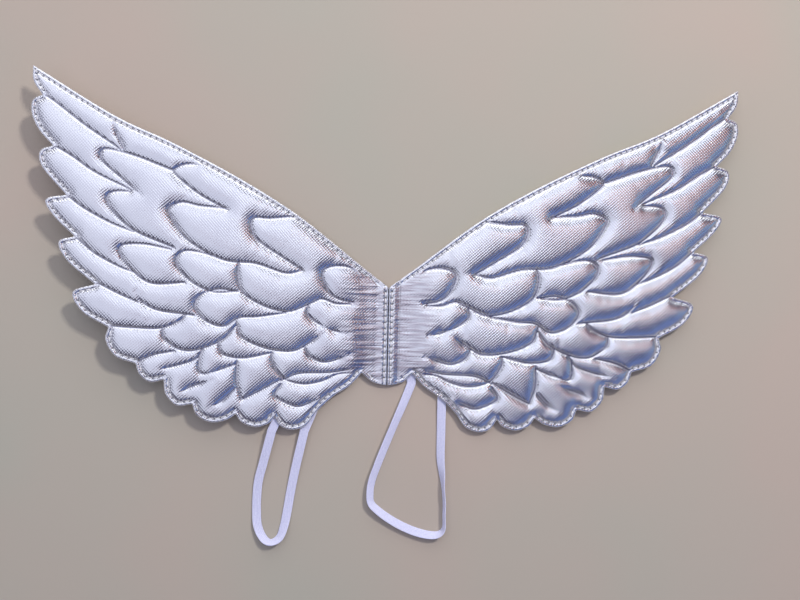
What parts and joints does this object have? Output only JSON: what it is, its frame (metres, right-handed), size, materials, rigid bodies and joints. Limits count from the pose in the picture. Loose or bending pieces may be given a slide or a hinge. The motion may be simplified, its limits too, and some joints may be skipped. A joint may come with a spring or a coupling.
{
  "type": "costume fairy wings",
  "caption": "Padded metallic foil fairy wings with scalloped feather tips, hinged at a centre seam, with flat elastic arm loops on the back.",
  "frame": {"origin": "on the surface that the wings lie on, below the middle of their outline; the centre seam is at x = 0", "axes": "+X along the span towards the right wing, +Y from the lower edge towards the upper tips, +Z out of the face of the wings"},
  "size_m": [0.4805, 0.3189, 0.0207],
  "materials": {
    "foil": "silver metallic coated fabric with a fine woven grain, satin gloss",
    "lining": "matt silver grey woven backing fabric",
    "foam": "off-white sponge foam",
    "thread": "pale grey polyester sewing thread",
    "elastic": "white knitted flat elastic, matt"
  },
  "bodies": {
    "centre_seam": {"left_seam_fold": "foil", "right_seam_fold": "foil", "seam_join_thread": "thread", "left_seam_topstitch": "thread", "right_seam_topstitch": "thread"},
    "left_wing": {"left_wing_backing": "lining", "left_wing_foam": "foam", "left_wing_face": "foil", "left_edge_needle_thread": "thread", "left_edge_bobbin_thread": "thread", "left_strap_upper_leg": "elastic", "left_strap_lower_leg": "elastic", "left_upper_bartack": "thread", "left_lower_bartack": "thread"},
    "right_wing": {"right_wing_backing": "lining", "right_wing_foam": "foam", "right_wing_face": "foil", "right_edge_needle_thread": "thread", "right_edge_bobbin_thread": "thread", "right_strap_upper_leg": "elastic", "right_strap_lower_leg": "elastic", "right_upper_bartack": "thread", "right_lower_bartack": "thread"},
    "left_arm_loop": {"left_strap_loop": "elastic"},
    "right_arm_loop": {"right_strap_loop": "elastic"}
  },
  "joints": [
    {"name": "left_wing_flap", "type": "hinge", "parent": "centre_seam", "child": "left_wing", "pos_m": [-0.0055, -0.0555, 0.002], "axis": [0, 1, 0], "range_deg": [-40, 75]},
    {"name": "right_wing_flap", "type": "hinge", "parent": "centre_seam", "child": "right_wing", "pos_m": [0.0055, -0.0555, 0.002], "axis": [0, -1, 0], "range_deg": [-40, 75]},
    {"name": "left_loop_swing", "type": "hinge", "parent": "left_wing", "child": "left_arm_loop", "pos_m": [-0.067, -0.122, 0.0043], "axis": [-0.9981, 0, 0.0611], "range_deg": [-90, 45]},
    {"name": "right_loop_swing", "type": "hinge", "parent": "right_wing", "child": "right_arm_loop", "pos_m": [0.027, -0.093, 0.0011], "axis": [-0.8435, 0.5368, -0.0177], "range_deg": [-90, 45]}
  ]
}
